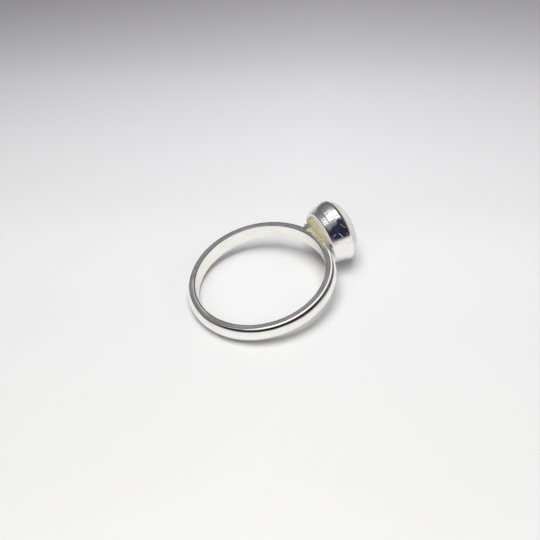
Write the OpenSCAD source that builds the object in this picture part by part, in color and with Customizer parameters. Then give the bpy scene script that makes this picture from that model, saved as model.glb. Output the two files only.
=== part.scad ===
// Pearl ring lying on its side. A plain band, flat inside and low-domed outside,
// carries a round back plate and a tapered bezel cup with a rolled lip, all
// soldered into one, and a low-domed pearl is seated in the cup.
// Millimetres. +Z is up, +X points from the finger hole to the head, and the
// origin is the centre of the finger hole. The ring rests on the lower edge of
// the band, opposite the head, and on the lip of the cup.

/* [Band] */
// Diameter of the finger hole
finger_d = 17; // [15:1:17]
// Width of the band along the finger
band_w = 2.18; // [2.18:0.06:2.3]
// Thickness of the band at its flat side faces
side_t = 0.7; // [0.68:0.02:0.7]
// Thickness of the band at the middle of its belly
belly_t = 1.22; // [1, 1.1, 1.22]
// Bevel between each side face and the belly
side_bevel = 0.08; // [0.05:0.01:0.1]
// Break of the edges of the finger hole
edge_break = 0.06; // [0.03:0.01:0.1]

/* [Back plate and cup] */
// Diameter of the round plate between band and cup
plate_d = 5.96; // [5.96, 6.06, 6.2, 6.4]
// Thickness of the plate that shows between band and cup
plate_t = 0.25; // [0.25, 0.3, 0.4, 0.5]
// Diameter of the cup at its base
cup_base_d = 7.5; // [7.3, 7.4, 7.5, 7.6]
// Rounding of the edge of the cup's base
base_round = 0.3; // [0.2:0.02:0.4]
// Diameter of the cup at its lip, the widest place
cup_d = 8.52; // [8.46:0.02:8.8]
// Height of the cup from its base to the top of its lip
cup_h = 2.91; // [2.7:0.01:3.2]
// Radius of the rolled lip
lip_round = 0.27; // [0.24:0.01:0.3]
// Thickness of the cup's floor
floor_t = 0.5; // [0.3:0.05:0.8]

/* [Pearl] */
// Diameter of the pearl at its girdle
pearl_d = 7.9; // [7.8:0.02:7.92]
// Rounding of the pearl at its girdle
girdle_round = 1.27; // [1.1:0.01:1.4]
// Height of the pearl's dome above the lip
pearl_rise = 1.73; // [1.5:0.01:2]
// Gap between the pearl and the metal
seat_gap = 0.06; // [0.04:0.01:0.08]

/* [How the head sits] */
// Turn of the head to one side, degrees
head_turn = -8.1; // [-8.5, -8.1, -4]
// Droop of the head, degrees
head_droop = 3.4; // [0, 2, 3.4]
// Offset of the head along the band's circle
head_side = 0.15; // [0, 0.08, 0.15, 0.2]
// Offset of the head across the band
head_rise = 0.16; // [0, 0.08, 0.16, 0.2]

/* [Node] */
// Which node to draw

/* [Hidden] */
$fn = 96;
ease = 0.002;

finger_r = finger_d / 2;
// outer ends of the side faces, and the belly's arc through its two edges
side_r = finger_r + side_t;
bevel_slope = 1.4;
edge_r = side_r + side_bevel * bevel_slope;
edge_z = band_w / 2 - side_bevel;
belly_sag = finger_r + belly_t - edge_r;
belly_R = (belly_sag * belly_sag + edge_z * edge_z) / (2 * belly_sag);

// seat of the head on the band's axis to the head, where its own axis starts
seat_x = finger_r + 0.8;
plate_z = 0.1;
cup_z = plate_z + plate_t;
top_z = cup_z + cup_h;

// lip: a circle in the cup's profile, the cup's wall runs tangent to it
lip_r = cup_d / 2 - lip_round;
lip_z = top_z - lip_round;
lip_dr = lip_r - cup_base_d / 2;
lip_dz = lip_z - cup_z;
lip_len = sqrt(lip_dr * lip_dr + lip_dz * lip_dz);
// slope of the wall from the axis, tangent to the lip
taper = 90 - (atan2(lip_dz, lip_dr) - asin(lip_round / lip_len));
// circle of the base's rounded edge, tangent to the base and to the wall
base_c = [cup_base_d / 2 + base_round * (tan(taper) - 1 / cos(taper)),
          cup_z + base_round];

// pearl: girdle circle, and the big circle of the dome tangent inside it
gird_r = pearl_d / 2 - girdle_round;
gird_z = top_z - 0.3;
apex_z = top_z + pearl_rise;
dome_h = apex_z - gird_z;
dome_R = (gird_r * gird_r + dome_h * dome_h - girdle_round * girdle_round)
         / (2 * (dome_h - girdle_round));
dome_z = apex_z - dome_R;
dome_a = atan2(gird_z - dome_z, gird_r);
floor_z = cup_z + floor_t;
back_z = floor_z + seat_gap;

// direction of the head's axis in the ring, and the centre of the lip circle
head_a = [cos(head_droop) * cos(head_turn), cos(head_droop) * sin(head_turn),
          -sin(head_droop)];
lip_c = [seat_x, head_side, head_rise] + lip_z * head_a;

// how far the lip and the band reach below the origin when tilted by t
function lip_low(t) =
  let (up = [sin(t), 0, cos(t)], s = head_a * up)
  lip_r * sqrt(1 - s * s) + lip_round - lip_c * up;
function band_low(t) = side_r * sin(t) + band_w / 2 * cos(t);
function settle(lo, hi, k) =
  let (m = (lo + hi) / 2)
  k == 0 ? m : lip_low(m) > band_low(m) ? settle(m, hi, k - 1)
                                        : settle(lo, m, k - 1);
// tilt at which the lip and the band reach equally low, so both rest
rest_tilt = settle(0, 30, 40);

// a point at distance d and angle a from c
function polar(c, d, a) = c + d * [cos(a), sin(a)];

// polygon of a sector, wide enough to hold a circle of radius r between a0, a1
function sector_pts(c, r, a0, a1, n = 4) =
  concat([c], [for (i = [0:n]) let (a = a0 + (a1 - a0) * i / n)
                 polar(c, 2 * r, a)]);

module arc_sector(c, r, a0, a1)
  intersection() {
    translate(c) circle(r = r);
    polygon(sector_pts(c, r, a0, a1));
  }

// the band's own frame, +Z its axis, tilted to how the ring lies
module as_it_lies() rotate([0, -rest_tilt, 0]) children();

module on_head()
  translate([seat_x, head_side, head_rise])
    rotate([0, 0, head_turn]) rotate([0, head_droop, 0]) rotate([0, 90, 0])
      children();

// the bevels run on past the belly's arc, which cuts them off
module band_2d() {
  past = belly_t - side_t + 0.1;
  intersection() {
    translate([finger_r + belly_t - belly_R, 0]) circle(r = belly_R);
    polygon([[finger_r, -band_w / 2 + edge_break],
             [finger_r + edge_break, -band_w / 2], [side_r, -band_w / 2],
             [side_r + past, -band_w / 2 + past / bevel_slope],
             [side_r + past, band_w / 2 - past / bevel_slope],
             [side_r, band_w / 2], [finger_r + edge_break, band_w / 2],
             [finger_r, band_w / 2 - edge_break]]);
  }
}

// In the head's profiles, straight and wide parts lie 0.002 mm inside the round
// parts that they run into, so that the outlines cross and never just touch.
module cup_2d()
  difference() {
    union() {
      polygon([[0, cup_z], [base_c[0], cup_z],
               polar(base_c, base_round - ease, -taper),
               polar([lip_r, lip_z], lip_round - ease, -taper),
               polar([lip_r, lip_z], lip_round / 2, 30),
               [lip_r - 0.1, lip_z + 0.1], [0, lip_z + 0.1]]);
      arc_sector(base_c, base_round + ease, -110, -taper + 20);
      arc_sector([lip_r, lip_z], lip_round, -taper - 20, 135);
    }
    cavity_2d();
  }

// room in the cup: the pearl's own outline, grown by the gap
module cavity_2d() {
  g = girdle_round + seat_gap;
  wall = polar([gird_r, gird_z], g - ease, -taper);
  polygon([[-1, floor_z], [wall[0] - (wall[1] - floor_z) * tan(taper), floor_z],
           wall, polar([gird_r, gird_z], g / 2, 30), [gird_r, gird_z + g],
           [gird_r, top_z + 1], [-1, top_z + 1]]);
  arc_sector([gird_r, gird_z], g, -taper - 12, 120);
}

module pearl_2d() {
  side = polar([gird_r, gird_z], girdle_round - ease, -taper);
  polygon([[0, back_z], [side[0] - (side[1] - back_z) * tan(taper), back_z],
           side, polar([gird_r, gird_z], girdle_round / 2, 0),
           [0, gird_z + girdle_round / 2]]);
  arc_sector([gird_r, gird_z], girdle_round, -taper - 12, dome_a + 15);
  intersection() {
    translate([0, dome_z]) circle(r = dome_R - ease);
    polygon([[0, gird_z], [gird_r, gird_z],
             polar([gird_r, gird_z], 4, dome_a), [0, apex_z + 3]]);
  }
}

// solder that fills the wedge between the round band and the flat plate, with
// a small lump at each end of it
module solder() {
  difference() {
    intersection() {
      on_head() translate([0, 0, -1.2]) cylinder(r = plate_d / 2 - 0.14, h = 1.45);
      translate([finger_r - 2, -2.35, -0.9]) cube([6, 8, band_w / 2 + 0.85]);
    }
    translate([0, 0, -band_w]) cylinder(r = finger_r + 0.4, h = 2 * band_w);
  }
  translate([seat_x + 0.2, head_side + plate_d / 2 + 0.07, 0.66]) sphere(r = 0.33);
  translate([seat_x - 0.1, head_side - plate_d / 2 - 0.12, 0.8]) sphere(r = 0.36);
}

module silver_ring()
  color([0.83, 0.83, 0.81])
    as_it_lies() union() {
      rotate_extrude() band_2d();
      solder();
      on_head() {
        translate([0, 0, plate_z]) cylinder(d = plate_d, h = plate_t + 0.1);
        rotate_extrude() cup_2d();
      }
    }

module pearl()
  color([0.93, 0.92, 0.89])
    as_it_lies() on_head() rotate_extrude() pearl_2d();

silver_ring();
pearl();
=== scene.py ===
import math

import bpy
import numpy as np
from mathutils import Matrix, Vector


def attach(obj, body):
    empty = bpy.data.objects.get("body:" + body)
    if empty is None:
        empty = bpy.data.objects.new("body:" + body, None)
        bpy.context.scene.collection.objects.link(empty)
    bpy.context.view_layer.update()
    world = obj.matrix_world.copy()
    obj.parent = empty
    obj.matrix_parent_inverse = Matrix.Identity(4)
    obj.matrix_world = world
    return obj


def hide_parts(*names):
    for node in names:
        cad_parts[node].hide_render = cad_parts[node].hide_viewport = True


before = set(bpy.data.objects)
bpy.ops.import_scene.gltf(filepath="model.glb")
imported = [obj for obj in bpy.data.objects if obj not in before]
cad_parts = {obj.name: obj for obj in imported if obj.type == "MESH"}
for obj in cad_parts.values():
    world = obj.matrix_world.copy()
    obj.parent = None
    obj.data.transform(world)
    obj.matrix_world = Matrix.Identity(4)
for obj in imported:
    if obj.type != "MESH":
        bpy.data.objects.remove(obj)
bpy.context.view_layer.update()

MM = 0.001
REST_TILT = 8.53369          # lean of the band's axis as the ring lies
FLOOR_Z = -2.44313           # mm, the surface the ring lies on
FINGER_R, BAND_W = 8.5, 2.18
SIDE_R, BELLY_T, BEVEL, SLOPE = 9.2, 1.22, 0.08, 1.4
PLATE_R, PLATE_Z, CUP_Z = 2.98, 0.10, 0.35
CUP_BASE_R, BASE_ROUND, CUP_R, CUP_H, LIP = 3.75, 0.30, 4.26, 2.91, 0.27
TOP_Z = CUP_Z + CUP_H
PEARL_R, GIRDLE, GIRD_DROP, RISE, GAP = 3.95, 1.27, 0.30, 1.73, 0.06
SEAT = (9.3, 0.15, 0.16)
HEAD_TURN, HEAD_DROOP = -8.1, 3.4
lip_dr, lip_dz = CUP_R - LIP - CUP_BASE_R, TOP_Z - LIP - CUP_Z
# slope of the cup's wall, tangent to the lip
TAPER = 90 - math.degrees(math.atan2(lip_dz, lip_dr)
                          - math.asin(LIP / math.hypot(lip_dr, lip_dz)))

rad = math.radians
RING = Matrix.Rotation(-rad(REST_TILT), 4, "Y")
HEAD_IN_RING = (Matrix.Translation(Vector(SEAT) * MM)
                @ Matrix.Rotation(rad(HEAD_TURN), 4, "Z")
                @ Matrix.Rotation(rad(HEAD_DROOP), 4, "Y")
                @ Matrix.Rotation(rad(90), 4, "Y"))
HEAD = RING @ HEAD_IN_RING
# the same place in millimetres, for the meshes
HEAD_MM = HEAD_IN_RING.copy()
HEAD_MM.translation = Vector(SEAT)
HEAD_INV = np.array(HEAD_MM.inverted())


# ---------------------------------------------------------------- mesh tools

def piece(name, verts_mm, faces, matrix, mats, mat_ids=None, edge=None, smooth=True):
    """Mesh object from vertices in mm in the piece's own frame. The mesh is put
    in the shared frame, and the place in its own frame is kept as "local"."""
    local = np.asarray(verts_mm, float)
    m = np.array(matrix)
    me = bpy.data.meshes.new(name)
    me.from_pydata(((local * MM) @ m[:3, :3].T + m[:3, 3]).tolist(), [], faces)
    me.update()
    a = me.attributes.new("local", "FLOAT_VECTOR", "POINT")
    a.data.foreach_set("vector", local.astype(np.float32).ravel())
    for m in mats:
        me.materials.append(m)
    if mat_ids is not None:
        me.polygons.foreach_set("material_index", np.asarray(mat_ids, np.int32))
    if edge is not None:
        a = me.attributes.new("edge", "FLOAT", "POINT")
        a.data.foreach_set("value", np.asarray(edge, np.float32))
    me.polygons.foreach_set("use_smooth", [smooth] * len(me.polygons))
    ob = bpy.data.objects.new(name, me)
    bpy.context.scene.collection.objects.link(ob)
    return ob


def corner(p0, p1, p2, r, n):
    """Arc of radius r that rounds the corner p1 between p0 and p2."""
    p0, p1, p2 = map(np.asarray, (p0, p1, p2))
    a, b = p0 - p1, p2 - p1
    a, b = a / np.linalg.norm(a), b / np.linalg.norm(b)
    half = math.acos(np.clip(a @ b, -1, 1)) / 2
    t = r / math.tan(half)
    c = p1 + (a + b) / np.linalg.norm(a + b) * (r / math.sin(half))
    s, e = p1 + a * t - c, p1 + b * t - c
    ang = math.acos(np.clip(s @ e / r / r, -1, 1))
    k = np.linspace(0, 1, n + 1)
    return [tuple(c + (math.sin((1 - u) * ang) * s + math.sin(u * ang) * e)
                  / math.sin(ang)) for u in k]


def line(p0, p1, step, tight=0.02):
    """Points between p0 and p1, with one close to each end so the shading of a
    flat part stays flat. The ends are left out."""
    p0, p1 = np.asarray(p0, float), np.asarray(p1, float)
    d = np.linalg.norm(p1 - p0)
    if d < 4 * tight:
        return []
    n = max(1, int(round(d / step)))
    ts = sorted({tight / d, 1 - tight / d} | {i / n for i in range(1, n)
                                            if 2 * tight < i * d / n < d - 2 * tight})
    return [tuple(p0 + (p1 - p0) * t) for t in ts]


def arc(c, r, a0, a1, n):
    return [(c[0] + r * math.cos(rad(a0 + (a1 - a0) * i / n)),
             c[1] + r * math.sin(rad(a0 + (a1 - a0) * i / n))) for i in range(n + 1)]


def lathe(name, parts, segs, matrix, mats, closed=False, shift=None, phase=0.0, wear=None):
    """Turns a profile. parts is a list of (points, material index, edge weight);
    shift(r, z, angle) may return small changes of r and z."""
    pts, ids, edge = [], [], []
    for points, mi, e in parts:
        for p in points:
            if pts and math.hypot(p[0] - pts[-1][0], p[1] - pts[-1][1]) < 1e-5:
                edge[-1] = max(edge[-1], e)
                continue
            pts.append(p)
            ids.append(mi)
            edge.append(e)
    pts = np.array(pts, float)
    if closed and np.hypot(*(pts[0] - pts[-1])) < 1e-5:
        pts, ids, edge = pts[:-1], ids[:-1], edge[:-1]
    n = len(pts)
    ang = phase + np.arange(segs) * 2 * math.pi / segs
    r = np.repeat(pts[:, 0][:, None], segs, 1)
    z = np.repeat(pts[:, 1][:, None], segs, 1)
    if shift is not None:
        dr, dz = shift(r, z, ang[None, :] + 0 * r)
        keep = (pts[:, 0] > 1e-6)[:, None]
        r, z = r + dr * keep, z + dz * keep
    v = np.stack([r * np.cos(ang), r * np.sin(ang), z], -1)
    index = np.zeros((n, segs), int)
    verts, count, weights = [], 0, []
    for i in range(n):
        if pts[i, 0] < 1e-6:
            index[i] = count
            verts.append([[0, 0, pts[i, 1]]])
            weights.append([edge[i]])
            count += 1
        else:
            index[i] = count + np.arange(segs)
            verts.append(v[i])
            weights.append(edge[i] * (np.ones(segs) if wear is None else wear(ang)))
            count += segs
    verts = np.concatenate([np.asarray(a) for a in verts])
    faces, fid = [], []
    rows = n if closed else n - 1
    for i in range(rows):
        a, b = index[i], index[(i + 1) % n]
        an, bn = np.roll(a, -1), np.roll(b, -1)
        if a[0] == a[1]:
            q = np.stack([a, bn, b], 1)
        elif b[0] == b[1]:
            q = np.stack([a, an, b], 1)
        else:
            q = np.stack([a, an, bn, b], 1)
        faces += q.tolist()
        fid += [ids[(i + 1) % n]] * segs
    return piece(name, verts, faces, matrix, mats, fid, np.concatenate(weights))


def surface_net(f, lo, step):
    """Quads round the zero surface of the sampled field f (negative inside)."""
    inside = f < 0
    nx, ny, nz = f.shape
    acc = np.zeros((nx - 1, ny - 1, nz - 1, 3))
    cnt = np.zeros((nx - 1, ny - 1, nz - 1))
    corners = [(i, j, k) for i in (0, 1) for j in (0, 1) for k in (0, 1)]

    def at(a, c):
        return a[c[0]:nx - 1 + c[0], c[1]:ny - 1 + c[1], c[2]:nz - 1 + c[2]]

    for c in corners:
        for ax in range(3):
            if c[ax]:
                continue
            d = tuple(c[i] + (i == ax) for i in range(3))
            f0, f1 = at(f, c), at(f, d)
            cross = (f0 < 0) != (f1 < 0)
            t = np.where(cross, f0 / np.where(cross, f0 - f1, 1), 0)
            for i in range(3):
                acc[..., i] += np.where(cross, c[i] + (t if i == ax else 0), 0)
            cnt += cross
    used = cnt > 0
    index = -np.ones(used.shape, int)
    index[used] = np.arange(used.sum())
    cell = np.argwhere(used)
    verts = lo + step * (cell + acc[used] / cnt[used][:, None])
    faces = []
    for ax in range(3):
        o = [i for i in range(3) if i != ax]
        s0 = [slice(1, -1)] * 3
        s0[ax] = slice(0, -1)
        s1 = list(s0)
        s1[ax] = slice(1, None)
        a, b = inside[tuple(s0)], inside[tuple(s1)]
        for flip in (False, True):
            hit = np.argwhere((a & ~b) if not flip else (~a & b))
            if not len(hit):
                continue
            base = hit.copy()
            for k in o:
                base[:, k] += 1
            q = []
            for du, dv in ((0, 0), (1, 0), (1, 1), (0, 1)):
                p = base.copy()
                p[:, o[0]] -= du
                p[:, o[1]] -= dv
                q.append(index[p[:, 0], p[:, 1], p[:, 2]])
            q = np.stack(q, 1)
            if flip == (ax != 1):
                q = q[:, ::-1]
            faces += q.tolist()
    return verts, faces


def waves(seed, n, kmin, kmax):
    """A smooth periodic random function of an angle and a height, about -1..1."""
    rng = np.random.default_rng(seed)
    k = rng.integers(kmin, kmax + 1, n)
    m = rng.uniform(-1.5, 1.5, n)
    ph = rng.uniform(0, 2 * math.pi, n)
    am = rng.uniform(0.5, 1, n) / np.sqrt(n)

    def f(a, z):
        return sum(am[i] * np.sin(k[i] * a + m[i] * z + ph[i]) for i in range(n))
    return f


# ---------------------------------------------------------------- materials

class Nodes:
    """Small help for writing node trees."""

    def __init__(self, tree):
        self.t = tree
        tree.nodes.clear()

    def add(self, kind, _in=None, **props):
        n = self.t.nodes.new(kind)
        for k, v in props.items():
            setattr(n, k, v)
        for k, v in (_in or {}).items():
            self.set(n, k, v)
        return n

    def set(self, n, k, v):
        s = n.inputs[k]
        if isinstance(v, bpy.types.NodeSocket):
            self.t.links.new(v, s)
        elif isinstance(v, bpy.types.Node):
            self.t.links.new(v.outputs[0], s)
        else:
            s.default_value = v

    def math(self, op, a, b=0.0, c=None, clamp=False):
        n = self.add("ShaderNodeMath", {0: a, 1: b}, operation=op, use_clamp=clamp)
        if c is not None:
            self.set(n, 2, c)
        return n.outputs[0]

    def vmath(self, op, a, b=(0, 0, 0)):
        n = self.add("ShaderNodeVectorMath", {0: a, 1: b}, operation=op)
        return n.outputs[0]

    def ramp(self, fac, stops, mode="LINEAR"):
        n = self.add("ShaderNodeValToRGB", {"Fac": fac})
        r = n.color_ramp
        r.interpolation = mode
        while len(r.elements) > 1:
            r.elements.remove(r.elements[-1])
        r.elements[0].position = stops[0][0]
        r.elements[0].color = tuple(stops[0][1]) + (1,) if len(stops[0][1]) == 3 else stops[0][1]
        for p, c in stops[1:]:
            e = r.elements.new(p)
            e.color = tuple(c) + (1,) if len(c) == 3 else c
        return n.outputs[0]

    def rng(self, v, a0, a1, b0, b1, smooth=False):
        n = self.add("ShaderNodeMapRange", {"Value": v, "From Min": a0, "From Max": a1,
                                            "To Min": b0, "To Max": b1})
        if smooth:
            n.interpolation_type = "SMOOTHSTEP"
        return n.outputs["Result"]

    def mix(self, fac, a, b, blend="MIX"):
        n = self.add("ShaderNodeMix", data_type="RGBA", blend_type=blend)
        self.set(n, 0, fac)
        self.set(n, 6, a)
        self.set(n, 7, b)
        return n.outputs[2]

    def mm(self):
        """Position in the piece's own frame, in millimetres."""
        return self.add("ShaderNodeAttribute", attribute_name="local").outputs["Vector"]

    def noise(self, vec, scale, detail=2.0, rough=0.5, dist=0.0):
        n = self.add("ShaderNodeTexNoise", {"Vector": vec, "Scale": scale, "Detail": detail,
                                            "Roughness": rough, "Distortion": dist})
        return n.outputs["Fac"]

    def edge(self):
        return self.add("ShaderNodeAttribute", attribute_name="edge").outputs["Fac"]


def new_mat(name):
    m = bpy.data.materials.new(name)
    m.use_nodes = True
    return m, Nodes(m.node_tree)


def rgb(r, g, b):
    """sRGB 0-255 to linear."""
    def f(v):
        v /= 255
        return v / 12.92 if v <= 0.04045 else ((v + 0.055) / 1.055) ** 2.4
    return (f(r), f(g), f(b))


def scratches(N, P, scale, angle, width, seed, stretch=14.0):
    """Thin broken lines in one direction on the local position P."""
    m = N.add("ShaderNodeMapping", {"Vector": P, "Location": (seed * 3.1, seed * 1.7, seed * 2.3),
                                    "Rotation": angle, "Scale": (1.0, stretch, stretch)})
    n = N.noise(m.outputs[0], scale, 1.0, 0.4)
    d = N.math("ABSOLUTE", N.math("SUBTRACT", n, 0.5))
    lines = N.rng(d, 0.0, width, 1.0, 0.0)
    gate = N.rng(N.noise(P, scale * 1.7 + seed * 0.1, 1.0), 0.5, 0.62, 0.0, 1.0)
    return N.math("MULTIPLY", lines, gate)


def stroke(N, pos, p0, p1, width):
    """1 on a line from p0 to p1, each an angle in degrees and a height in mm on
    a wall of about 4 mm radius, fading over the width."""
    px, py, pz = pos
    mid = (p0[0] + p1[0]) / 2
    c, s = math.cos(rad(mid)), math.sin(rad(mid))
    # distance round the wall from the middle, good for short lines
    u = N.math("SUBTRACT", N.math("MULTIPLY", py, c), N.math("MULTIPLY", px, s))
    front = N.math("GREATER_THAN", N.math("ADD", N.math("MULTIPLY", px, c),
                                          N.math("MULTIPLY", py, s)), 2.5)
    a = (4 * rad(p0[0] - mid), p0[1])
    b = (4 * rad(p1[0] - mid), p1[1])
    d = np.array(b) - np.array(a)
    ln = float(np.linalg.norm(d))
    t = d / ln
    du, dz = N.math("SUBTRACT", u, float(a[0])), N.math("SUBTRACT", pz, float(a[1]))
    along = N.math("ADD", N.math("MULTIPLY", du, float(t[0])), N.math("MULTIPLY", dz, float(t[1])))
    off = N.math("ABSOLUTE", N.math("SUBTRACT", N.math("MULTIPLY", du, float(t[1])),
                                    N.math("MULTIPLY", dz, float(t[0]))))
    m = N.math("MULTIPLY", N.rng(off, 0.0, width, 1.0, 0.0, smooth=True),
               N.math("MULTIPLY", N.rng(along, -0.05, 0.1, 0.0, 1.0),
                      N.rng(along, ln - 0.1, ln + 0.05, 1.0, 0.0)))
    return N.math("MULTIPLY", m, front)


def silver(name, base, rough, brushed=None, bump=0.35, tarnish=0.25, grain=1.0, swell=1.0,
           rough_base=None, dark_marks=(), light_marks=(), scuffs=(),
           base_matte=None, film=False):
    """Polished silver: soft colour variation, tarnish in patches, hairline
    scratches, micro grain and rougher, brighter worn edges. brushed packs brush
    lines round the axis ("Z" on a wall, "R" on a flat face) or along it ("A").
    rough_base is extra roughness near the cup's base, which is matt below
    base_matte; marks and scuffs are strokes on the wall. film is the plate's
    warm film, on top of the solder."""
    m, N = new_mat(name)
    P = N.mm()
    sep = N.add("ShaderNodeSeparateXYZ", {0: P})
    px, py, pz = sep.outputs
    cloud = N.noise(P, 0.55, 3.0, 0.6)
    fine = N.noise(P, 6.0, 3.0, 0.6)
    stain = N.rng(N.noise(P, 1.3, 4.0, 0.65, 0.4), 0.52, 0.75, 0.0, 1.0)
    e = N.edge()
    dark = tuple(c * k for c, k in zip(base, (0.80, 0.77, 0.70)))
    col = N.mix(N.rng(cloud, 0.35, 0.7, 0.0, 0.3), base + (1,), dark + (1,))
    col = N.mix(N.math("MULTIPLY", stain, tarnish), col,
                tuple(c * k for c, k in zip(base, (0.66, 0.62, 0.55))) + (1,))
    s1 = scratches(N, P, 0.9, (0.3, 0.9, 0.5), 0.012, 1.0)
    s2 = scratches(N, P, 0.8, (1.3, 0.2, 2.1), 0.010, 2.0)
    s3 = scratches(N, P, 1.6, (2.2, 1.4, 0.9), 0.014, 3.0)
    sc = N.math("MAXIMUM", N.math("MAXIMUM", s1, s2), s3)
    col = N.mix(N.math("MULTIPLY", sc, 0.30), col,
                tuple(c * 0.62 for c in base) + (1,))
    marked = N.math("MULTIPLY", fine, 0.0)
    for p0, p1, w in dark_marks:
        mark = stroke(N, sep.outputs, p0, p1, w)
        col = N.mix(N.math("MULTIPLY", mark, 0.9), col, (0.05, 0.05, 0.06, 1))
        marked = N.math("MAXIMUM", marked, mark)
    bright = tuple(min(1.0, c * 1.04) for c in base)
    col = N.mix(N.math("MULTIPLY", N.math("MULTIPLY", e, 0.6), N.math("SUBTRACT", 1.0, marked)),
                col, bright + (1,))
    height = N.math("ADD", N.math("MULTIPLY", N.noise(P, 1.1, 2.0), 0.0022 * swell),
                    N.math("MULTIPLY", N.noise(P, 26.0, 2.0, 0.6), 0.00035 * grain))
    height = N.math("SUBTRACT", height, N.math("MULTIPLY", sc, 0.0016))
    r = N.math("ADD", N.rng(fine, 0.3, 0.7, rough * 0.8, rough * 1.25),
               N.math("MULTIPLY", sc, 0.12))
    r = N.math("ADD", r, N.math("MULTIPLY", stain, 0.06 * tarnish * 4))
    matte = N.rng(pz, base_matte + 0.10, base_matte + 0.04, 0.0, 1.0) if base_matte else \
        N.math("MULTIPLY", fine, 0.0)
    if base_matte:
        # and matt all round the worn part of the base's edge
        matte = N.math("MAXIMUM", matte, N.math("MULTIPLY", N.rng(e, 0.5, 0.9, 0.0, 1.0),
                                                N.rng(pz, base_matte + 0.34, base_matte + 0.24, 0.0, 1.0)))
    if film:
        on_top = N.math("MULTIPLY", N.rng(N.math("ABSOLUTE", N.math("ADD", py, 0.25)), 2.2, 1.8, 0.0, 1.0),
                        N.rng(pz, 0.72, 0.88, 0.0, 1.0))
        col = N.mix(on_top, col, rgb(196, 187, 158) + (1,))
        matte = N.math("MAXIMUM", matte, N.math("MULTIPLY", on_top, 1.4))
    for p0, p1, w in light_marks:
        matte = N.math("MAXIMUM", matte, stroke(N, sep.outputs, p0, p1, w))
    for p0, p1, w, k in scuffs:
        r = N.math("ADD", r, N.math("MULTIPLY", stroke(N, sep.outputs, p0, p1, w), k))
    if rough_base:
        r = N.math("ADD", r, N.rng(pz, CUP_Z + 0.15, CUP_Z + 1.15, rough_base, 0.0, smooth=True))
    # worn edges are rougher and catch the light
    r = N.add("ShaderNodeMix", {0: N.math("MINIMUM", N.math("MULTIPLY", e, 1.2), 1.0), 2: r, 3: 0.42},
              data_type="FLOAT").outputs[0]
    if brushed:
        rr = N.math("SQRT", N.math("ADD", N.math("MULTIPLY", px, px), N.math("MULTIPLY", py, py)))
        if brushed == "Z":
            bv, deep, brush_dark = N.vmath("MULTIPLY", P, (0.35, 0.35, 9.0)), 0.007, 0.42
        elif brushed == "R":
            bv = N.add("ShaderNodeCombineXYZ", {0: N.math("MULTIPLY", px, 0.45),
                                                1: N.math("MULTIPLY", py, 0.45),
                                                2: N.math("MULTIPLY", rr, 4.6)}).outputs[0]
            deep, brush_dark = 0.012, 0.75
        else:
            inv = N.math("DIVIDE", 1.0, N.math("MAXIMUM", rr, 0.5))
            bv = N.add("ShaderNodeCombineXYZ", {0: N.math("MULTIPLY", N.math("MULTIPLY", px, inv), 15.0),
                                                1: N.math("MULTIPLY", N.math("MULTIPLY", py, inv), 15.0),
                                                2: N.math("MULTIPLY", pz, 0.5)}).outputs[0]
            deep, brush_dark = 0.17, 0.3
        b = N.noise(bv, 1.0, 3.0, 0.7)
        line_dark = N.rng(b, 0.52, 0.72, 0.0, 1.0)
        line_light = N.rng(b, 0.46, 0.30, 0.0, 1.0)
        if brushed == "A":
            # coarser file marks on the side that faces the band's far part
            toward = N.math("DIVIDE", N.math("ADD", N.math("MULTIPLY", px, math.cos(rad(-178))),
                                             N.math("MULTIPLY", py, math.sin(rad(-178)))),
                            N.math("MAXIMUM", rr, 0.5))
            b = N.math("MULTIPLY", b, N.rng(toward, 0.80, 0.97, 0.2, 1.0, smooth=True))
        if brushed == "R":
            drift = N.noise(P, 0.45, 2.0, 0.5)
            # painted dark reflection: the side face darkened along its outer and inner edges, where its rounded
            # edges mirror dark
            painted_dark_rim = N.math("MAXIMUM", N.rng(rr, 9.07, 9.13, 0.0, 1.0, smooth=True),
                         N.rng(rr, 8.66, 8.60, 0.0, 0.9, smooth=True))
            col = N.mix(N.math("MULTIPLY", painted_dark_rim, N.rng(drift, 0.35, 0.6, 0.75, 0.35)), col,
                        tuple(c * 0.30 for c in base) + (1,))
            streak = N.math("MULTIPLY", N.rng(rr, 8.70, 8.76, 0.0, 1.0, smooth=True),
                            N.rng(rr, 8.80, 8.86, 1.0, 0.0, smooth=True))
            # a bright line on the part that faces away to the left
            west = N.rng(N.math("ADD", N.math("MULTIPLY", px, math.cos(rad(163))),
                                N.math("MULTIPLY", py, math.sin(rad(163)))), 7.7, 8.4, 0.0, 1.0, smooth=True)
            matte = N.math("MAXIMUM", matte, N.math("MULTIPLY", streak, N.math("MULTIPLY", west, 0.65)))
            matte = N.math("MAXIMUM", matte, N.math("MULTIPLY", line_light, N.rng(drift, 0.40, 0.6, 0.05, 0.40)))
            # small pits and specks, most of them opposite the head
            pits = N.noise(P, 4.2, 3.0, 0.75)
            worn = N.rng(px, 2.0, -6.0, 0.35, 1.0)
            matte = N.math("MAXIMUM", matte, N.math("MULTIPLY", N.rng(pits, 0.56, 0.68, 0.0, 0.42), worn))
            col = N.mix(N.math("MULTIPLY", N.rng(pits, 0.47, 0.36, 0.0, 0.62), worn), col,
                        tuple(c * 0.45 for c in base) + (1,))
        height = N.math("ADD", height, N.math("MULTIPLY", b, deep))
        col = N.mix(N.math("MULTIPLY", line_dark, brush_dark), col,
                    tuple(c * 0.6 for c in base) + (1,))
        r = N.math("ADD", r, N.rng(b, 0.4, 0.7, 0.0, 0.06))
    bp = N.add("ShaderNodeBump", {"Height": height, "Strength": bump, "Distance": 0.001})
    p = N.add("ShaderNodeBsdfPrincipled", {"Base Color": col, "Roughness": r,
                                           "Normal": bp.outputs[0],
                                           "Metallic": N.math("SUBTRACT", N.rng(e, 0.5, 1.0, 1.0, 0.3),
                                                              N.math("MULTIPLY", matte, 0.6), clamp=True)})
    N.add("ShaderNodeOutputMaterial", {"Surface": p.outputs[0]})
    return m


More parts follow.
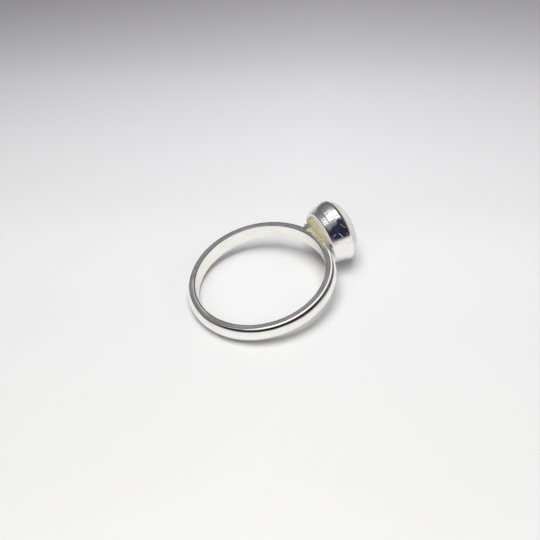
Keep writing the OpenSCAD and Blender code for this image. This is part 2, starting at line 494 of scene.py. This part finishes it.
def tarnished(name):
    """Dull warm film left on the plate by the soldering, darker at its turned edge, with painted shade on its side
    wall and along the far part of its rim.
    """
    m, N = new_mat(name)
    P = N.mm()
    a = N.noise(P, 1.4, 4.0, 0.65, 0.3)
    b = N.noise(P, 7.0, 3.0, 0.6)
    col = N.mix(N.rng(a, 0.35, 0.68, 0.0, 1.0), rgb(246, 238, 206) + (1,),
                rgb(238, 229, 194) + (1,))
    col = N.mix(N.rng(b, 0.5, 0.8, 0.0, 0.45), col, rgb(214, 203, 166) + (1,))
    sc = scratches(N, P, 1.2, (0.4, 0.7, 0.9), 0.016, 5.0)
    col = N.mix(N.math("MULTIPLY", sc, 0.5), col, rgb(225, 220, 200) + (1,))
    sep = N.add("ShaderNodeSeparateXYZ", {0: P})
    # painted shade: the plate's side wall darker
    painted_dark_rim = N.rng(sep.outputs[2], PLATE_Z + 0.03, PLATE_Z + 0.06, 0.0, 1.0)
    col = N.mix(painted_dark_rim, col, (0.66, 0.65, 0.64, 1), "MULTIPLY")
    col = N.mix(N.math("MULTIPLY", N.edge(), 0.75), col, rgb(118, 108, 84) + (1,))
    # painted shade: a dark line along the far part of the rim
    px, py = sep.outputs[0], sep.outputs[1]
    rr = N.math("SQRT", N.math("ADD", N.math("MULTIPLY", px, px), N.math("MULTIPLY", py, py)))
    far = N.math("DIVIDE", N.math("ADD", N.math("MULTIPLY", px, math.cos(rad(122))),
                                  N.math("MULTIPLY", py, math.sin(rad(122)))),
                 N.math("MAXIMUM", rr, 0.5))
    line = N.math("MULTIPLY", N.rng(rr, PLATE_R - 0.13, PLATE_R - 0.06, 0.0, 1.0),
                  N.rng(far, 0.83, 0.91, 0.0, 1.0))
    col = N.mix(N.math("MULTIPLY", line, 0.9), col, rgb(84, 80, 80) + (1,))
    h = N.math("ADD", N.math("MULTIPLY", a, 0.012), N.math("MULTIPLY", b, 0.004))
    bp = N.add("ShaderNodeBump", {"Height": h, "Strength": 0.4, "Distance": 0.001})
    p = N.add("ShaderNodeBsdfPrincipled",
              {"Base Color": col, "Roughness": N.rng(b, 0.3, 0.7, 0.42, 0.6),
               "Metallic": N.rng(a, 0.4, 0.65, 0.16, 0.06), "Normal": bp.outputs[0]})
    N.add("ShaderNodeOutputMaterial", {"Surface": p.outputs[0]})
    return m


def nacre(name):
    m, N = new_mat(name)
    P = N.mm()
    a = N.noise(P, 0.45, 3.0, 0.55, 0.3)
    b = N.noise(P, 2.2, 4.0, 0.6)
    bands = N.noise(N.vmath("MULTIPLY", P, (0.5, 0.5, 3.2)), 1.0, 2.0, 0.5)
    col = N.mix(N.rng(a, 0.35, 0.68, 0.0, 1.0), rgb(211, 210, 207) + (1,),
                rgb(210, 206, 202) + (1,))
    col = N.mix(N.rng(b, 0.5, 0.75, 0.0, 0.35), col, rgb(206, 210, 208) + (1,))
    col = N.mix(N.rng(bands, 0.5, 0.7, 0.0, 0.3), col, rgb(220, 210, 206) + (1,))
    sep = N.add("ShaderNodeSeparateXYZ", {0: P})
    # painted light: whiter on the lower half; painted shade: darker by the lip on the upper half
    upper = N.rng(sep.outputs[0], 0.8, -1.2, 0.0, 1.0, smooth=True)
    col = N.mix(upper, rgb(250, 249, 246) + (1,), col)
    col = N.mix(N.math("MULTIPLY", upper, N.rng(sep.outputs[2], TOP_Z - 0.1, TOP_Z + 0.45, 1.0, 0.0, smooth=True)),
                col, (0.80, 0.80, 0.80, 1), "MULTIPLY")
    h = N.math("ADD", N.math("MULTIPLY", b, 0.004), N.math("MULTIPLY", N.noise(P, 14.0, 2.0), 0.0008))
    bp = N.add("ShaderNodeBump", {"Height": h, "Strength": 0.35, "Distance": 0.001})
    p = N.add("ShaderNodeBsdfPrincipled",
              {"Base Color": col, "Roughness": N.rng(b, 0.3, 0.7, 0.26, 0.36),
               "Normal": bp.outputs[0], "Subsurface Weight": 0.12,
               "Subsurface Radius": (0.0009, 0.0008, 0.0007), "Subsurface Scale": 1.0,
               "Coat Weight": 0.6, "Coat Roughness": 0.12, "Coat IOR": 1.55,
               "Specular IOR Level": 0.6, "Thin Film Thickness": 420.0, "Thin Film IOR": 1.45,
               "Sheen Weight": 0.05})
    N.add("ShaderNodeOutputMaterial", {"Surface": p.outputs[0]})
    return m


M_BELLY = silver("silver_belly", (0.97, 0.965, 0.935), 0.09, bump=0.22, tarnish=0.10)
M_WALL = silver("silver_inside", (0.955, 0.947, 0.892), 0.18, brushed="Z", bump=0.4, tarnish=0.08)
M_SIDE = silver("silver_side", (0.90, 0.90, 0.89), 0.13, brushed="R", bump=0.5, tarnish=0.3,
                grain=2.0, swell=4.0)
M_CUP = silver("silver_cup", (0.985, 0.98, 0.968), 0.07, brushed="A", bump=0.35, tarnish=0.12,
               rough_base=0.24, base_matte=CUP_Z,
               scuffs=(((-146, 0.7), (-151, 2.1), 0.66, 0.45), ((-160, 0.9), (-157, 1.9), 0.35, 0.12)),
               dark_marks=(((-152, 1.30), (-155, 2.05), 0.11), ((-137, 0.75), (-128, 0.72), 0.10),
                           # the last dark mark, low by the near solder lump, is painted shade of that lump's dark
                           # side
                           ((-156, 1.05), (-154, 1.25), 0.05), ((-114, 0.37), (-105, 0.40), 0.14)),
               light_marks=(((-129, 1.69), (-119, 2.04), 0.05), ((-127, 0.94), (-129, 1.35), 0.05),
                            ((-142, 2.40), (-139, 2.55), 0.05), ((-151, 1.28), (-153, 2.0), 0.04),
                            ((-137, 2.50), (-133, 2.80), 0.04), ((-136, 1.62), (-135, 1.7), 0.04),
                            ((-124, 2.62), (-120, 2.66), 0.03)))
M_SOLDER = silver("silver_solder", (0.84, 0.83, 0.79), 0.22, bump=0.6, tarnish=0.5, grain=2.0,
                  film=True)
M_PLATE = tarnished("plate_film")
M_PEARL = nacre("pearl_nacre")

# ---------------------------------------------------------------- the band

edge_r, edge_z = SIDE_R + BEVEL * SLOPE, BAND_W / 2 - BEVEL
sag = FINGER_R + BELLY_T - edge_r
BELLY_R = (sag * sag + edge_z * edge_z) / (2 * sag)
BELLY_C = FINGER_R + BELLY_T - BELLY_R


def band_profile():
    h = BAND_W / 2
    a_edge = math.degrees(math.asin(edge_z / BELLY_R))
    belly_top = arc((BELLY_C, 0), BELLY_R, a_edge - 2.5, 0, 26)
    in_top = corner((FINGER_R, 0), (FINGER_R, h), (SIDE_R, h), 0.085, 6)
    # the worn bevel: a soft arc that ends where the belly starts
    bev_r = (h - edge_z) / (math.sin(rad(74)) - math.sin(rad(50)))
    bev_c = (edge_r - bev_r * math.cos(rad(50)), edge_z - bev_r * math.sin(rad(50)))
    bevel = arc(bev_c, bev_r, 74, 50, 8)
    out_top = corner((FINGER_R, h), bevel[0], bevel[2], 0.03, 3)
    top = [
        (line((FINGER_R, 0), in_top[0], 0.16)[1:], 0, 0.0),
        (in_top, 2, 0.0),
        (line(in_top[-1], out_top[0], 0.12), 2, 0.0),
        (out_top, 1, 1.0),
        (bevel[1:], 1, 1.0),
        (belly_top, 1, 0.0),
    ]
    low = [([(r, -z) for r, z in pts[::-1]], mi, e) for pts, mi, e in top[::-1]]
    # a profile point's material is that of the stretch that ends in it
    return [([(FINGER_R, 0.0)], 0, 0.0)] + top + low


wob_a, wob_b, wob_c = waves(11, 7, 2, 9), waves(12, 9, 8, 26), waves(13, 6, 1, 5)


def bevel_wear(a):
    """1 where the bevel is worn wide, at the right of the near side, to 0.3."""
    d = np.degrees((a + math.pi) % (2 * math.pi) - math.pi)
    w = np.clip((d + 153) / 36, 0, 1) * np.clip((6 - d) / 22, 0, 1)
    w = w * w * (3 - 2 * w)
    return 0.3 + 0.7 * w


def band_shift(r, z, a):
    belly = np.clip((r - SIDE_R) / 0.3, 0, 1)
    face = np.clip((np.abs(z) - 1.05) / 0.04, 0, 1)
    inner = np.clip((8.56 - r) / 0.05, 0, 1)
    dr = belly * (0.010 * wob_a(a, z) + 0.0022 * wob_b(a, z * 2)) + inner * 0.0035 * wob_b(a + 1, z * 2)
    dr = dr + (1 - bevel_wear(a)) * 0.045 * face * np.clip((r - 9.0) / 0.16, 0, 1) * (r < 9.312)
    dz = np.sign(z) * face * (0.006 * wob_c(a, r * 3) + 0.0022 * wob_b(a + 2, r * 6) - 0.006)
    return dr - 0.004 * belly, dz


band = lathe("band", band_profile(), 640, RING, [M_WALL, M_BELLY, M_SIDE], closed=True,
             shift=band_shift, wear=bevel_wear)
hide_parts("silver_ring")

# ------------------------------------------------------- back plate and cup

plate_low = corner((0, PLATE_Z), (PLATE_R, PLATE_Z), (PLATE_R, CUP_Z), 0.05, 4)
plate_parts = [
    ([(0, PLATE_Z)], 0, 0.0),
    (line((0, PLATE_Z), plate_low[0], 0.25), 0, 0.0),
    (plate_low, 0, 1.0),
    (line(plate_low[-1], (PLATE_R, CUP_Z + 0.03), 0.1), 0, 0.0),
    ([(PLATE_R, CUP_Z + 0.03)], 0, 0.0),
    ([(0, CUP_Z + 0.03)], 0, 0.0),
]
pw = waves(21, 8, 2, 11)
plate = lathe("back_plate", plate_parts, 320, HEAD, [M_PLATE],
              shift=lambda r, z, a: (np.clip((r - 2.6) / 0.4, 0, 1) * 0.012 * (pw(a, z) - 1) / 1.6,
                                     0 * r))
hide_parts("silver_ring")

# the lip is rolled a little softer than the solid's, inside the same outline
LIP_V = 0.42
lip_c = (CUP_R - LIP_V, TOP_Z - LIP_V)
gird_c = (PEARL_R - GIRDLE, TOP_Z - GIRD_DROP)
g = GIRDLE + GAP
tp = math.tan(rad(TAPER))
floor_z = CUP_Z + 0.5
wall_top = (lip_c[0] + LIP_V * math.cos(rad(-TAPER)), lip_c[1] + LIP_V * math.sin(rad(-TAPER)))
base_c = corner((0, CUP_Z), (CUP_BASE_R, CUP_Z), wall_top, BASE_ROUND, 14)
lip_out = arc(lip_c, LIP_V, -TAPER, 69, 30)
bowl = arc(gird_c, g, 11.5, -TAPER, 12)
floor_out = (bowl[-1][0] - (bowl[-1][1] - floor_z) * tp, floor_z)
cup_parts = [
    ([(0, CUP_Z)], 0, 0.0),
    (line((0, CUP_Z), (2.9, CUP_Z), 0.25), 0, 0.0),
    (line((2.9, CUP_Z), base_c[0], 0.1), 0, 0.9),
    (base_c, 0, 0.95),
    (line(base_c[-1], lip_out[0], 0.10), 0, 0.0),
    (lip_out, 0, 0.1),
    ([(gird_c[0] + g * math.cos(rad(12.3)), gird_c[1] + g * math.sin(rad(12.3)) + 0.006)], 0, 0.1),
    (bowl, 0, 0.0),
    (line(bowl[-1], floor_out, 0.4), 0, 0.0),
    ([floor_out], 0, 0.0),
    (line(floor_out, (0, floor_z), 0.6), 0, 0.0),
    ([(0, floor_z)], 0, 0.0),
]
cw1, cw2, cw3 = waves(31, 6, 1, 4), waves(32, 9, 5, 14), waves(33, 10, 14, 34)


def cup_wear(a):
    """1 where the edge of the base is worn, on the near lower side, to 0.06."""
    d = np.degrees((a + math.pi) % (2 * math.pi) - math.pi)
    w = np.clip((d + 122) / 14, 0, 1) * np.clip((-30 - d) / 20, 0, 1)
    return 0.06 + 0.94 * w


def cup_shift(r, z, a):
    out = np.clip((r - 3.4) / 0.3, 0, 1) * np.clip((z - CUP_Z) / 0.4, 0, 1)
    lip = np.clip((z - 2.5) / 0.5, 0, 1)
    inner = (r < gird_c[0] + g + 0.002) & (z > 1.2) & (z < TOP_Z - 0.03)
    inner |= (z < floor_z + 0.01) & (z > floor_z - 0.1) & (r < 3.7)
    keep = np.where(inner, 0.0, 1.0)
    dr = keep * out * (0.008 * cw1(a, z) + 0.006 * cw2(a, z) * (0.3 + lip)
                       + 0.003 * cw3(a, z) * lip - 0.012)
    # hammered slightly barrel-shaped, tucked in towards the base
    u = np.clip((1.8 - z) / 1.15, 0, 1.0)
    barrel = -0.040 * u ** 3 - 0.0175 * np.clip(z - 1.8, 0, 1.0) ** 2
    # pressed in at the base on the upper far side, a trace fuller above that
    d = np.abs((np.degrees(a) - 152 + 180) % 360 - 180)
    side_w = np.clip(1 - d / 62, 0, 1)
    side_w = side_w * side_w * (3 - 2 * side_w)
    v = np.clip((z - CUP_Z) / 1.9, 0, 1)
    barrel = barrel + side_w * (-0.36 * (1 - v) ** 1.6 + 0.10 * v * np.clip((2.95 - z) / 0.7, 0, 1))
    d = np.abs((np.degrees(a) + 85 + 180) % 360 - 180)
    near_w = np.clip(1 - d / 60, 0, 1)
    barrel = barrel + 0.17 * near_w * (1 - np.clip((z - CUP_Z) / 1.2, 0, 1))
    return dr + keep * np.clip((r - 3.15) / 0.3, 0, 1) * barrel * (z < TOP_Z + 0.1), 0 * r


cup = lathe("bezel_cup", cup_parts, 512, HEAD, [M_CUP], shift=cup_shift, wear=cup_wear)
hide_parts("silver_ring")

# ---------------------------------------------------------------- the solder

def smin(a, b, k):
    h = np.clip(k - np.abs(a - b), 0, None) / k
    return np.minimum(a, b) - h * h * k * 0.25


def ball(X, Y, Z, c, r):
    return np.sqrt((X - c[0]) ** 2 + (Y - c[1]) ** 2 + (Z - c[2]) ** 2) - r


# centre, radius and how softly each lump runs into the rest
SOLDER_LUMPS = (((9.62, 3.00, 0.64), 0.17, 0.07), ((9.50, 2.98, 0.42), 0.16, 0.10),
                ((9.08, -2.80, 0.98), 0.17, 0.06), ((9.20, -2.90, 0.84), 0.15, 0.05),
                ((9.20, -2.80, 0.45), 0.2, 0.16))


def solder_mesh():
    lo, hi, s = np.array([8.55, -3.9, -1.3]), np.array([10.1, 3.9, 1.45]), 0.03
    axes = [np.arange(lo[i], hi[i] + s, s) for i in range(3)]
    X, Y, Z = np.meshgrid(*axes, indexing="ij")
    R = np.hypot(X, Y)
    band_d = np.maximum.reduce([np.abs(Z) - BAND_W / 2, FINGER_R - R,
                                np.hypot(R - BELLY_C, Z) - BELLY_R])
    H = [HEAD_INV[i, 0] * X + HEAD_INV[i, 1] * Y + HEAD_INV[i, 2] * Z + HEAD_INV[i, 3]
         for i in range(3)]
    rho = np.hypot(H[0], H[1])
    plate_d = np.maximum.reduce([rho - PLATE_R, PLATE_Z - H[2], H[2] - CUP_Z])
    wob = 0.02 * np.sin(2.3 * Y + 1.0) * np.cos(1.7 * Z) + 0.012 * np.sin(5.1 * Y + 3 * Z)
    joint = smin(band_d, plate_d, 0.14) + 0.004 + wob * 0.25
    # the wedge that the solder fills, below the band's upper side face
    wedge = np.maximum.reduce([rho - PLATE_R + 0.07 + wob, Z - BAND_W / 2 + 0.05 + 0.5 * wob,
                               -Z - BAND_W / 2 + 0.10, 8.95 - R, H[2] - PLATE_Z - 0.1,
                               -H[2] - 1.2, Y - 2.55 + 2 * wob,
                               -Y - 2.40 + 2 * wob])
    f = smin(np.maximum(joint, Z - BAND_W / 2 + 0.02), wedge, 0.10)
    # lumps at the ends of the joint
    for c, r, k in SOLDER_LUMPS:
        f = smin(f, ball(X, Y, Z, c, r), k)
    # kept to the joint: nothing deep in the band or the plate
    deep = np.minimum(band_d, plate_d)
    f = np.maximum(f, -(deep + 0.09))
    near = np.maximum.reduce([rho - PLATE_R - 0.5, np.abs(Z) - 1.25, H[2] - CUP_Z + 0.02])
    f = np.maximum(f, near)
    f = np.maximum(f, 8.72 - R)
    f[0], f[-1], f[:, 0], f[:, -1], f[:, :, 0], f[:, :, -1] = (1,) * 6
    return surface_net(f, lo, s)


sv, sf = solder_mesh()
solder = piece("solder", sv, sf, RING, [M_SOLDER], edge=np.zeros(len(sv)))
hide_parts("silver_ring")

# ---------------------------------------------------------------- the pearl

apex = TOP_Z + RISE
dome_h = apex - gird_c[1]
dome_R = (gird_c[0] ** 2 + dome_h ** 2 - GIRDLE ** 2) / (2 * (dome_h - GIRDLE))
dome_z = apex - dome_R
dome_a = math.degrees(math.atan2(gird_c[1] - dome_z, gird_c[0]))
back_z = floor_z + GAP
side = arc(gird_c, GIRDLE, -TAPER, dome_a, 30)
back_out = (side[0][0] - (side[0][1] - back_z) * tp, back_z)
pearl_parts = [
    ([(0, back_z)], 0, 0.0),
    (line((0, back_z), back_out, 0.6), 0, 0.0),
    ([back_out], 0, 0.0),
    (line(back_out, side[0], 0.3), 0, 0.0),
    (side, 0, 0.0),
    (arc((0, dome_z), dome_R, dome_a, 89.0, 44)[1:], 0, 0.0),
    ([(0, apex)], 0, 0.0),
]
pe = waves(41, 6, 1, 5)
pearl = lathe("pearl_cabochon", pearl_parts, 384, HEAD, [M_PEARL],
              shift=lambda r, z, a: (np.clip((z - TOP_Z) / 0.6, 0, 1) * np.clip(r / 2, 0, 1)
                                     * 0.006 * (pe(a, z) - 1.2), 0 * r))
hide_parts("pearl")

for ob, s in ((band, "silver"), (plate, "silver"), (cup, "silver"), (solder, "silver"),
              (pearl, "pearl")):
    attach(ob, "root")

# ------------------------------------------------------------ floor and light

ALBEDO = 0.775


def floor_material():
    """Pale paper, its colour painted greyer away from the camera, and a little to the sides, as in the photo:
    painted shade where the light falls off."""
    m, N = new_mat("pale_floor")
    P = N.mm()
    sep = N.add("ShaderNodeSeparateXYZ", {0: P})
    c, s = math.cos(rad(47.5)), math.sin(rad(47.5))
    away = N.math("ADD", N.math("MULTIPLY", sep.outputs[0], c),
                  N.math("MULTIPLY", sep.outputs[1], s))
    side = N.math("ADD", N.math("MULTIPLY", sep.outputs[0], s),
                  N.math("MULTIPLY", sep.outputs[1], -c))
    k = N.rng(away, -50.0, 100.0, 0.0, 1.0)
    stops = [(-50, 0.91), (-28, 0.88), (-5, 0.872), (3, 0.885), (11, 0.885), (20, 0.845),
             (30, 0.83), (38, 0.797), (47, 0.745), (54, 0.69), (61, 0.60), (69, 0.52),
             (77, 0.452), (83, 0.405), (100, 0.31)]
    # painted tint of the light: neutral, a little warm near the camera and a little cool and pink far off
    grey = N.ramp(k, [((d + 50) / 150, (v * ALBEDO, v * ALBEDO * (0.997 - 0.00026 * max(0, d - 20)),
                                        v * ALBEDO * min(1.0, 0.978 + 0.0004 * (d + 35))))
                      for d, v in stops])
    off = N.math("MULTIPLY", N.math("ABSOLUTE", N.math("SUBTRACT", side, 3.0)), 0.025)
    dim = N.math("MULTIPLY", N.math("POWER", off, 1.2), N.rng(away, 0.0, 45.0, 0.055, 0.11))
    grey = N.mix(N.math("MINIMUM", dim, 0.6), grey, (0.0, 0.0, 0.0, 1.0))
    # a little more light inside the ring, thrown down by its bright wall
    inside = N.math("POWER", N.math("ADD", N.math("MULTIPLY", sep.outputs[0], sep.outputs[0]),
                                    N.math("MULTIPLY", sep.outputs[1], sep.outputs[1])), 0.5)
    glow = N.rng(inside, 6.0, 8.6, 1.0, 0.0, smooth=True)
    grey = N.mix(glow, grey, (1.03, 1.03, 1.03, 1.0), "MULTIPLY")
    grain = N.noise(P, 3.0, 3.0, 0.6)
    col = N.mix(N.rng(grain, 0.3, 0.7, 0.0, 0.012), grey, (0.5, 0.5, 0.5, 1))
    p = N.add("ShaderNodeBsdfPrincipled", {"Base Color": col, "Roughness": 0.8,
                                           "Specular IOR Level": 0.1})
    N.add("ShaderNodeOutputMaterial", {"Surface": p.outputs[0]})
    return m


def make_floor():
    n, size = 24, 600.0
    g_ = np.linspace(-size, size, n + 1)
    v = [(x, y, 0.0) for y in g_ for x in g_]
    f = [(j * (n + 1) + i, j * (n + 1) + i + 1, (j + 1) * (n + 1) + i + 1, (j + 1) * (n + 1) + i)
         for j in range(n) for i in range(n)]
    ob = piece("floor", v, f, Matrix.Translation((0, 0, FLOOR_Z * MM)), [floor_material()])
    return ob


make_floor()


def direction(az, el):
    return Vector((math.cos(rad(az)) * math.cos(rad(el)), math.sin(rad(az)) * math.cos(rad(el)),
                   math.sin(rad(el))))


def softbox(name, az, el, dist, w, h, level, roll=0.0, glossy=True, diffuse=True):
    """Area light of w by h mm that faces the ring; level is its brightness."""
    d = bpy.data.lights.new(name, "AREA")
    d.shape, d.size, d.size_y = "RECTANGLE", w * MM, h * MM
    d.energy = level * math.pi * w * h * MM * MM
    ob = bpy.data.objects.new(name, d)
    bpy.context.scene.collection.objects.link(ob)
    to = direction(az, el)
    ob.rotation_mode = "QUATERNION"
    ob.rotation_quaternion = to.to_track_quat("Z", "Y") @ Matrix.Rotation(rad(roll), 3, "Z").to_quaternion()
    ob.location = to * dist * MM
    ob.visible_glossy = glossy
    ob.visible_diffuse = diffuse
    return ob


# soft light from overhead, and a wide even fill from three sides of the camera;
# the metal mirrors none of them, it mirrors the world below
KEY, FILL = 3.45, 1.28      # light on the floor from each, in units of its brightness
softbox("key", 232, 83, 620, 400, 400, KEY / (400 / 620) ** 2, glossy=False)
softbox("fill_left", 195, 38, 620, 300, 300, FILL * 0.30 / (300 / 620) ** 2, glossy=False)
softbox("fill_front", 240, 45, 620, 300, 300, FILL * 0.32 / (300 / 620) ** 2, glossy=False)
softbox("fill_right", 300, 33, 620, 300, 300, FILL * 0.38 / (300 / 620) ** 2, glossy=False)


BOX = 2.0                 # brightness of the softbox that the metal mirrors


def make_world():
    w = bpy.data.worlds.new("studio")
    bpy.context.scene.world = w
    w.use_nodes = True
    N = Nodes(w.node_tree)
    tc = N.add("ShaderNodeTexCoord")
    sep = N.add("ShaderNodeSeparateXYZ", {0: tc.outputs["Generated"]})
    x, y, z = sep.outputs
    el = N.math("ARCSINE", z)
    k = N.rng(el, rad(-10), rad(90), 0.0, 1.0)

    def ramp(stops):
        return N.ramp(k, [((e + 10) / 100, rgb(*c)) for e, c in stops])

    hor = N.math("MAXIMUM", N.math("SQRT", N.math("ADD", N.math("MULTIPLY", x, x),
                                                  N.math("MULTIPLY", y, y))), 0.001)

    def facing(az, a0, a1):
        d = N.math("ADD", N.math("MULTIPLY", x, math.cos(rad(az))),
                   N.math("MULTIPLY", y, math.sin(rad(az))))
        return N.rng(N.math("DIVIDE", d, hor), math.cos(rad(a0)), math.cos(rad(a1)),
                     0.0, 1.0, smooth=True)

    navy = ramp([(-10, (225, 225, 222)), (4, (222, 222, 220)), (8, (120, 116, 122)),
                 (12, (44, 42, 56)), (30, (38, 45, 68)), (58, (42, 48, 68)),
                 (72, (58, 60, 74)), (90, (90, 92, 100))])
    plum = ramp([(-10, (225, 225, 222)), (3, (225, 224, 222)), (8, (130, 112, 120)),
                 (13, (64, 42, 52)), (40, (58, 44, 54)), (60, (66, 62, 70)),
                 (72, (84, 84, 90)), (90, (98, 98, 102))])
    grey = ramp([(-10, (200, 200, 200)), (0, (110, 110, 112)), (12, (98, 99, 101)),
                 (24, (104, 105, 107)), (35, (130, 130, 132)), (52, (138, 138, 140)),
                 (62, (172, 172, 176)), (90, (196, 196, 197))])
    shade = ramp([(-10, (190, 190, 190)), (0, (108, 106, 108)), (12, (92, 90, 92)),
                  (60, (92, 91, 94)), (90, (100, 100, 103))])
    dark = N.mix(facing(-50, 50, 36), navy, plum)
    brown = N.math("MULTIPLY", facing(-142, 40, 22),
                   N.rng(el, rad(34), rad(46), 1.0, 0.0, smooth=True))
    soot = ramp([(-10, (225, 225, 222)), (4, (222, 222, 220)), (8, (96, 84, 86)),
                 (12, (42, 33, 37)), (90, (46, 38, 42))])
    dark = N.mix(brown, dark, soot)
    back_ = N.mix(facing(5, 62, 40), grey, shade)
    col = N.mix(facing(-121, 99, 63), back_, dark)

    def span(v, a0, a1, b0, b1):
        return N.math("MULTIPLY", N.rng(v, a0, a1, 0.0, 1.0, smooth=True),
                      N.rng(v, b0, b1, 1.0, 0.0, smooth=True))

    # softbox overhead, soft at the far edge
    slant = N.math("ADD", y, N.math("MULTIPLY", x, 0.25))
    box = N.math("MULTIPLY", span(x, -0.46, -0.22, 0.10, 0.18),
                 span(slant, -0.155, -0.115, 0.26, 0.46))
    box = N.math("MULTIPLY", box, N.math("GREATER_THAN", z, 0.0))
    # the key lamp above stands for it where it lights the floor
    diffuse = N.add("ShaderNodeLightPath").outputs["Is Diffuse Ray"]
    box = N.math("MULTIPLY", box, N.math("SUBTRACT", 1.0, diffuse))
    col = N.mix(box, col, (BOX, BOX, BOX * 1.01, 1.0))
    bg = N.add("ShaderNodeBackground", {"Color": col, "Strength": 1.0})
    N.add("ShaderNodeOutputWorld", {"Surface": bg.outputs[0]})


make_world()

# ---------------------------------------------------------------- the camera

cam_data = bpy.data.cameras.new("camera")
cam_data.lens, cam_data.sensor_width = 60.0, 36.0
cam_data.clip_start, cam_data.clip_end = 0.001, 10.0
cam = bpy.data.objects.new("camera", cam_data)
bpy.context.scene.collection.objects.link(cam)
right = Vector((0.81821261, -0.56971741, -0.07713749))
up = Vector((0.42684045, 0.51209766, 0.74536114))
back = Vector((-0.38514329, -0.64278928, 0.6621832))
place = Matrix((right, up, back)).transposed().to_4x4()
place.translation = Vector((-43.11634874, -74.30916967, 77.20896495)) * MM
cam.matrix_world = place
bpy.context.scene.camera = cam

view = bpy.context.scene.view_settings
view.view_transform, view.look, view.exposure, view.gamma = "Standard", "None", 0.0, 1.0

bpy.context.view_layer.update()
